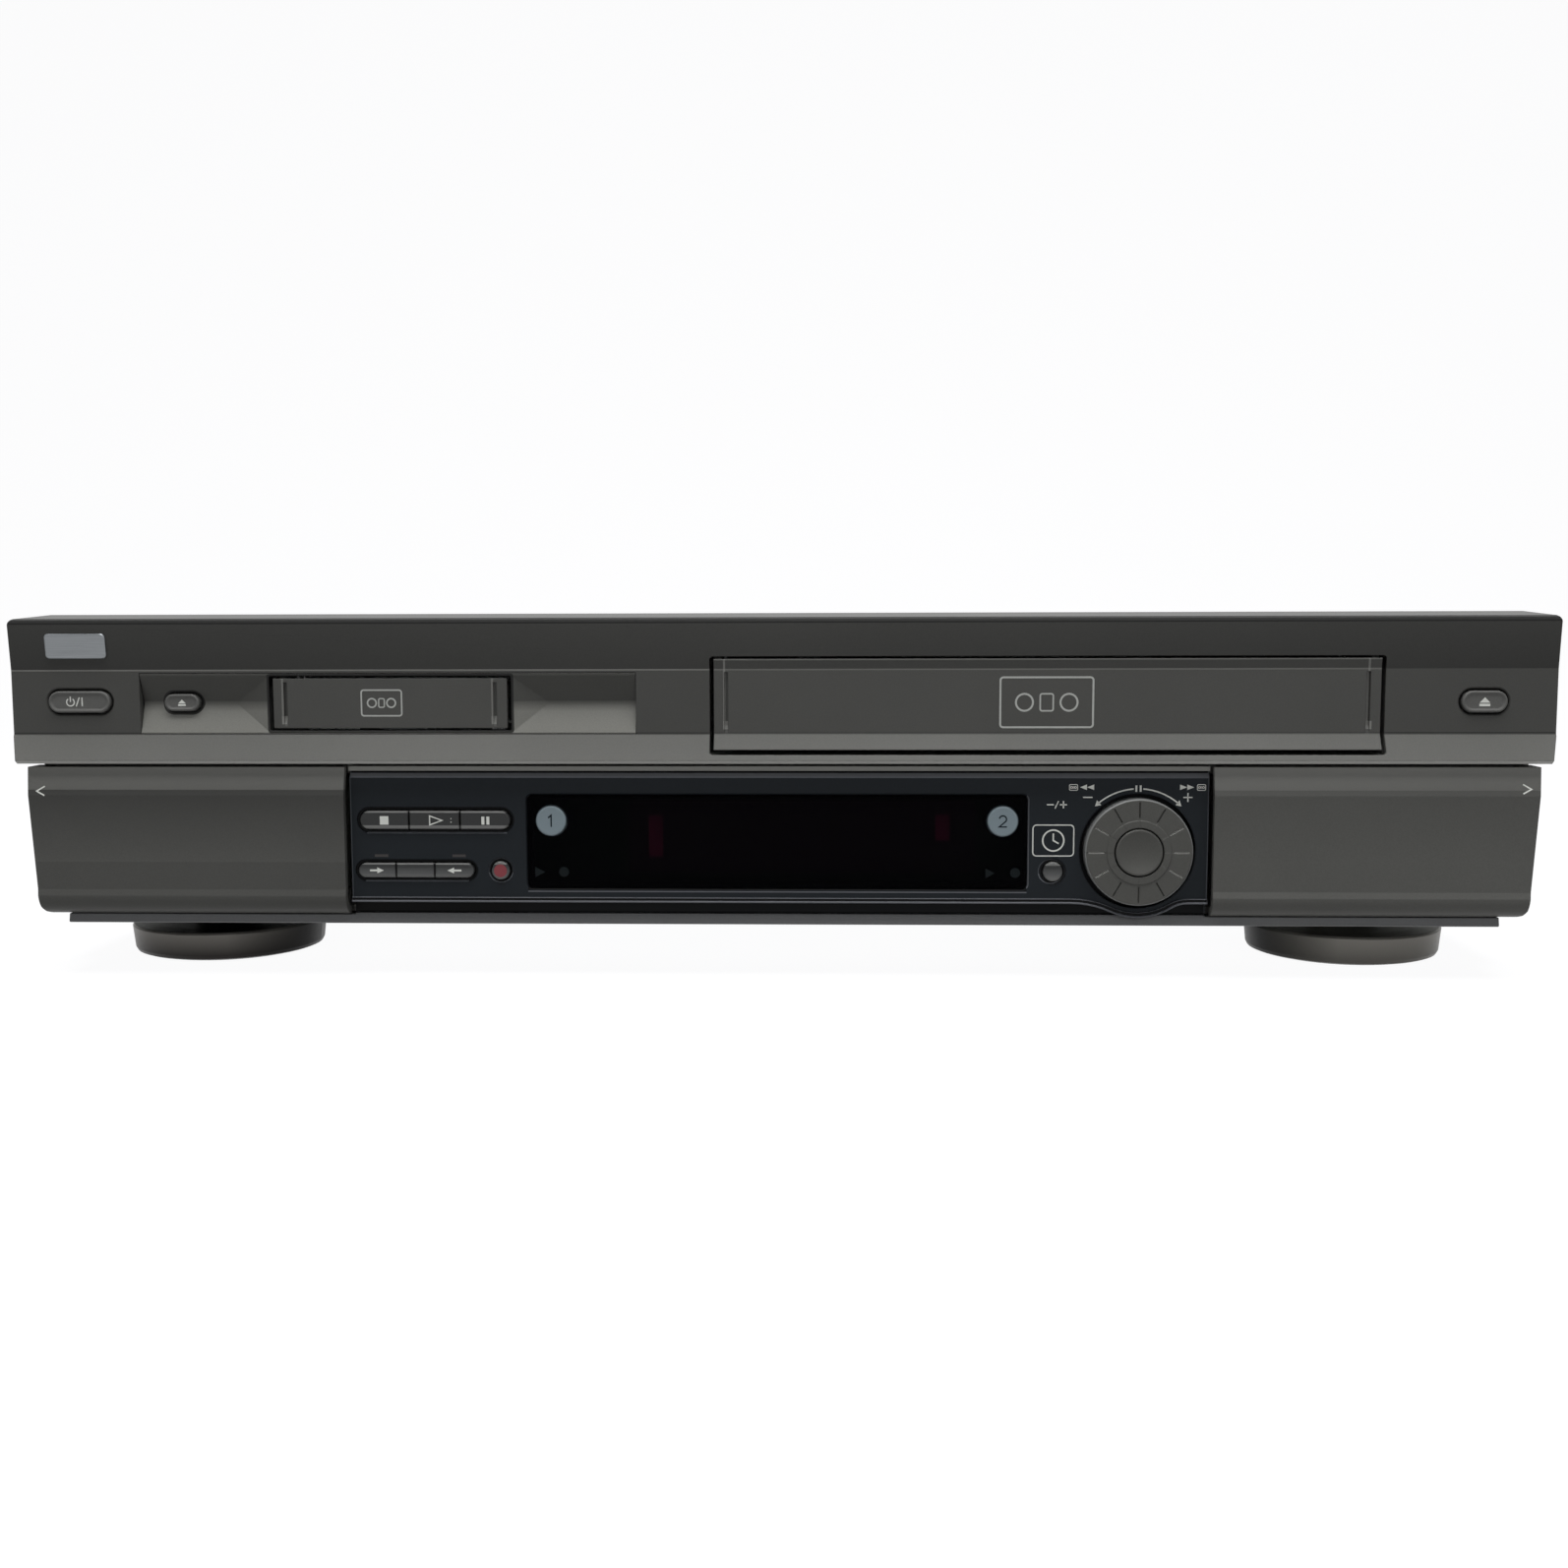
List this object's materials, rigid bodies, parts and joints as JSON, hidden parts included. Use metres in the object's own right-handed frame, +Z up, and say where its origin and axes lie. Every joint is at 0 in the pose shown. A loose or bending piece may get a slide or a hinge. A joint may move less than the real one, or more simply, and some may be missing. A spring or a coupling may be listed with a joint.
{
  "type": "video cassette recorder",
  "caption": "Dual-slot video cassette recorder with sprung slot flaps, fold-down doors, keys, a jog and shuttle dial, rear sockets and two tape mechanisms.",
  "frame": {"origin": "bottom centre of the overall box, on the plane the feet stand on", "axes": "+X to the right seen from the front, +Y to the rear, +Z up"},
  "size_m": [0.455, 0.36, 0.1084],
  "materials": {
    "fascia_plastic": "satin painted moulding",
    "trim_plastic": "satin painted insert",
    "door_plastic": "satin painted moulding",
    "panel_black": "semi-gloss black moulding",
    "window_smoke": "smoked clear plastic",
    "button_plastic": "satin painted keys",
    "select_plastic": "pale translucent keys",
    "dial_plastic": "semi-gloss dial",
    "cover_steel": "fine textured dark paint",
    "zinc_steel": "zinc plated sheet",
    "foot_shell": "metallic painted foot",
    "black_plastic": "moulded black",
    "pad_rubber": "soft pads",
    "board_green": "printed circuit board",
    "display_glass": "vacuum display glass",
    "bright_metal": "nickel plated",
    "drum_aluminium": "turned",
    "screw_steel": "blackened steel"
  },
  "bodies": {
    "chassis": {"antenna_terminals": "bright_metal", "bay_panels": "black_plastic", "bottom_strip": "trim_plastic", "chassis_tray": "zinc_steel", "circuit_boards": "board_green", "cover_screws": "screw_steel", "deck_plate": "zinc_steel", "din_sockets": "black_plastic", "display_board": "board_green", "display_panel": "panel_black", "display_tube": "display_glass", "display_window": "window_smoke", "dv_deck": "zinc_steel", "dv_slot_trim": "trim_plastic", "foot_pads": "pad_rubber", "front_fascia": "fascia_plastic", "front_feet": "foot_shell", "lower_drum": "drum_aluminium", "mains_inlet": "black_plastic", "phono_jacks": "bright_metal", "rear_feet": "black_plastic", "rear_panel": "cover_steel", "side_brackets": "zinc_steel", "top_cover": "cover_steel"},
    "vhs_flap": {"vhs_flap": "fascia_plastic"},
    "dv_flap": {"dv_flap": "fascia_plastic"},
    "left_door": {"left_door": "door_plastic"},
    "right_door": {"right_door": "door_plastic"},
    "power_button": {"power_button": "button_plastic"},
    "vhs_eject_button": {"vhs_eject_button": "button_plastic"},
    "dv_eject_button": {"dv_eject_button": "button_plastic"},
    "stop_button": {"stop_button": "button_plastic"},
    "play_button": {"play_button": "button_plastic"},
    "pause_button": {"pause_button": "button_plastic"},
    "dub_right_button": {"dub_right_button": "button_plastic"},
    "dub_select_button": {"dub_select_button": "button_plastic"},
    "dub_left_button": {"dub_left_button": "button_plastic"},
    "record_button": {"record_button": "button_plastic"},
    "timer_button": {"timer_button": "button_plastic"},
    "select_button_1": {"select_button_1": "select_plastic"},
    "select_button_2": {"select_button_2": "select_plastic"},
    "setup_key_1": {"setup_key_1": "button_plastic"},
    "setup_key_2": {"setup_key_2": "button_plastic"},
    "shuttle_ring": {"shuttle_ring": "dial_plastic"},
    "jog_spindle": {"jog_spindle": "black_plastic"},
    "jog_knob": {"jog_knob": "dial_plastic"},
    "loading_carriage": {"loading_carriage": "zinc_steel"},
    "cassette_holder": {"cassette_holder": "zinc_steel"},
    "upper_drum": {"upper_drum": "drum_aluminium"},
    "capstan": {"capstan": "bright_metal"},
    "pinch_arm": {"pinch_arm": "zinc_steel"},
    "pinch_roller": {"pinch_roller": "pad_rubber"},
    "supply_reel": {"supply_reel": "black_plastic"},
    "takeup_reel": {"takeup_reel": "black_plastic"},
    "supply_guide": {"supply_guide": "bright_metal"},
    "takeup_guide": {"takeup_guide": "bright_metal"},
    "dv_holder": {"dv_holder": "zinc_steel"},
    "dv_drum": {"dv_drum": "drum_aluminium"},
    "dv_supply_reel": {"dv_supply_reel": "black_plastic"},
    "dv_takeup_reel": {"dv_takeup_reel": "black_plastic"}
  },
  "joints": [
    {"name": "vhs_flap_swing", "type": "hinge", "parent": "chassis", "child": "vhs_flap", "pos_m": [0.07955, -0.1714, 0.09995], "axis": [1, 0, 0], "range_deg": [0, 90], "stiffness_Nm_per_rad": 0.012, "springref_deg": -34.38},
    {"name": "dv_flap_swing", "type": "hinge", "parent": "chassis", "child": "dv_flap", "pos_m": [-0.11345, -0.1683, 0.0958], "axis": [1, 0, 0], "range_deg": [0, 90], "stiffness_Nm_per_rad": 0.002, "springref_deg": -34.38},
    {"name": "left_door_fold", "type": "hinge", "parent": "chassis", "child": "left_door", "pos_m": [-0.1749, -0.1734, 0.02485], "axis": [1, 0, 0], "range_deg": [0, 88]},
    {"name": "right_door_fold", "type": "hinge", "parent": "chassis", "child": "right_door", "pos_m": [0.1758, -0.1734, 0.02485], "axis": [1, 0, 0], "range_deg": [0, 88]},
    {"name": "power_press", "type": "slide", "parent": "chassis", "child": "power_button", "axis": [0, 1, 0], "range_m": [0, 0.0008], "stiffness_N_per_m": 400},
    {"name": "vhs_eject_press", "type": "slide", "parent": "chassis", "child": "vhs_eject_button", "axis": [0, 1, 0], "range_m": [0, 0.0008], "stiffness_N_per_m": 400},
    {"name": "dv_eject_press", "type": "slide", "parent": "chassis", "child": "dv_eject_button", "axis": [0, 1, 0], "range_m": [0, 0.0008], "stiffness_N_per_m": 400},
    {"name": "stop_press", "type": "slide", "parent": "chassis", "child": "stop_button", "axis": [0, 1, 0], "range_m": [0, 0.0008], "stiffness_N_per_m": 400},
    {"name": "play_press", "type": "slide", "parent": "chassis", "child": "play_button", "axis": [0, 1, 0], "range_m": [0, 0.0008], "stiffness_N_per_m": 400},
    {"name": "pause_press", "type": "slide", "parent": "chassis", "child": "pause_button", "axis": [0, 1, 0], "range_m": [0, 0.0008], "stiffness_N_per_m": 400},
    {"name": "dub_right_press", "type": "slide", "parent": "chassis", "child": "dub_right_button", "axis": [0, 1, 0], "range_m": [0, 0.0008], "stiffness_N_per_m": 400},
    {"name": "dub_select_press", "type": "slide", "parent": "chassis", "child": "dub_select_button", "axis": [0, 1, 0], "range_m": [0, 0.0008], "stiffness_N_per_m": 400},
    {"name": "dub_left_press", "type": "slide", "parent": "chassis", "child": "dub_left_button", "axis": [0, 1, 0], "range_m": [0, 0.0008], "stiffness_N_per_m": 400},
    {"name": "record_press", "type": "slide", "parent": "chassis", "child": "record_button", "axis": [0, 1, 0], "range_m": [0, 0.0008], "stiffness_N_per_m": 400},
    {"name": "timer_press", "type": "slide", "parent": "chassis", "child": "timer_button", "axis": [0, 1, 0], "range_m": [0, 0.0008], "stiffness_N_per_m": 400},
    {"name": "select_1_press", "type": "slide", "parent": "chassis", "child": "select_button_1", "axis": [0, 1, 0], "range_m": [0, 0.0008], "stiffness_N_per_m": 400},
    {"name": "select_2_press", "type": "slide", "parent": "chassis", "child": "select_button_2", "axis": [0, 1, 0], "range_m": [0, 0.0008], "stiffness_N_per_m": 400},
    {"name": "setup_key_1_press", "type": "slide", "parent": "chassis", "child": "setup_key_1", "axis": [0, 1, 0], "range_m": [0, 0.0008], "stiffness_N_per_m": 400},
    {"name": "setup_key_2_press", "type": "slide", "parent": "chassis", "child": "setup_key_2", "axis": [0, 1, 0], "range_m": [0, 0.0008], "stiffness_N_per_m": 400},
    {"name": "shuttle_turn", "type": "hinge", "parent": "chassis", "child": "shuttle_ring", "pos_m": [0.1072, -0.1712, 0.03825], "axis": [0, -1, 0], "range_deg": [-40, 40], "stiffness_Nm_per_rad": 0.02},
    {"name": "jog_press", "type": "slide", "parent": "chassis", "child": "jog_spindle", "axis": [0, 1, 0], "range_m": [0, 0.0008], "stiffness_N_per_m": 400},
    {"name": "jog_turn", "type": "hinge", "parent": "jog_spindle", "child": "jog_knob", "pos_m": [0.1072, -0.1742, 0.03825], "axis": [0, -1, 0], "continuous": true},
    {"name": "carriage_run", "type": "slide", "parent": "chassis", "child": "loading_carriage", "axis": [0, 1, 0], "range_m": [0, 0.07]},
    {"name": "holder_drop", "type": "slide", "parent": "loading_carriage", "child": "cassette_holder", "axis": [0, 0, -1], "range_m": [0, 0.0195]},
    {"name": "drum_spin", "type": "hinge", "parent": "chassis", "child": "upper_drum", "pos_m": [0.07955, 0.0304, 0.046], "axis": [0, -0.1038, 0.9946], "continuous": true},
    {"name": "capstan_spin", "type": "hinge", "parent": "chassis", "child": "capstan", "pos_m": [0.12555, -0.016, 0.04], "axis": [0, 0, 1], "continuous": true},
    {"name": "pinch_swing", "type": "hinge", "parent": "chassis", "child": "pinch_arm", "pos_m": [0.14955, -0.003, 0.05], "axis": [0, 0, 1], "range_deg": [-24, 0]},
    {"name": "pinch_spin", "type": "hinge", "parent": "pinch_arm", "child": "pinch_roller", "pos_m": [0.14075, -0.0206, 0.06], "axis": [0, 0, 1], "continuous": true},
    {"name": "supply_reel_spin", "type": "hinge", "parent": "chassis", "child": "supply_reel", "pos_m": [0.03405, -0.0815, 0.045], "axis": [0, 0, 1], "continuous": true},
    {"name": "takeup_reel_spin", "type": "hinge", "parent": "chassis", "child": "takeup_reel", "pos_m": [0.12505, -0.0815, 0.045], "axis": [0, 0, 1], "continuous": true},
    {"name": "takeup_guide_run", "type": "hinge", "parent": "chassis", "child": "takeup_guide", "pos_m": [0.03355, 0.0364, 0.041], "axis": [0, 0, 1], "range_deg": [0, 34]},
    {"name": "supply_guide_run", "type": "hinge", "parent": "chassis", "child": "supply_guide", "pos_m": [0.12555, 0.0364, 0.041], "axis": [0, 0, 1], "range_deg": [-34, 0]},
    {"name": "dv_holder_drop", "type": "slide", "parent": "chassis", "child": "dv_holder", "axis": [0, 0, -1], "range_m": [0, 0.008]},
    {"name": "dv_drum_spin", "type": "hinge", "parent": "chassis", "child": "dv_drum", "pos_m": [-0.11345, -0.0786, 0.067], "axis": [0, 0, 1], "continuous": true},
    {"name": "dv_supply_reel_spin", "type": "hinge", "parent": "chassis", "child": "dv_supply_reel", "pos_m": [-0.12845, -0.1266, 0.058], "axis": [0, 0, 1], "continuous": true},
    {"name": "dv_takeup_reel_spin", "type": "hinge", "parent": "chassis", "child": "dv_takeup_reel", "pos_m": [-0.09845, -0.1266, 0.058], "axis": [0, 0, 1], "continuous": true}
  ],
  "couplings": [
    {"joint": "supply_guide_run", "follows": "takeup_guide_run", "ratio": -1}
  ]
}
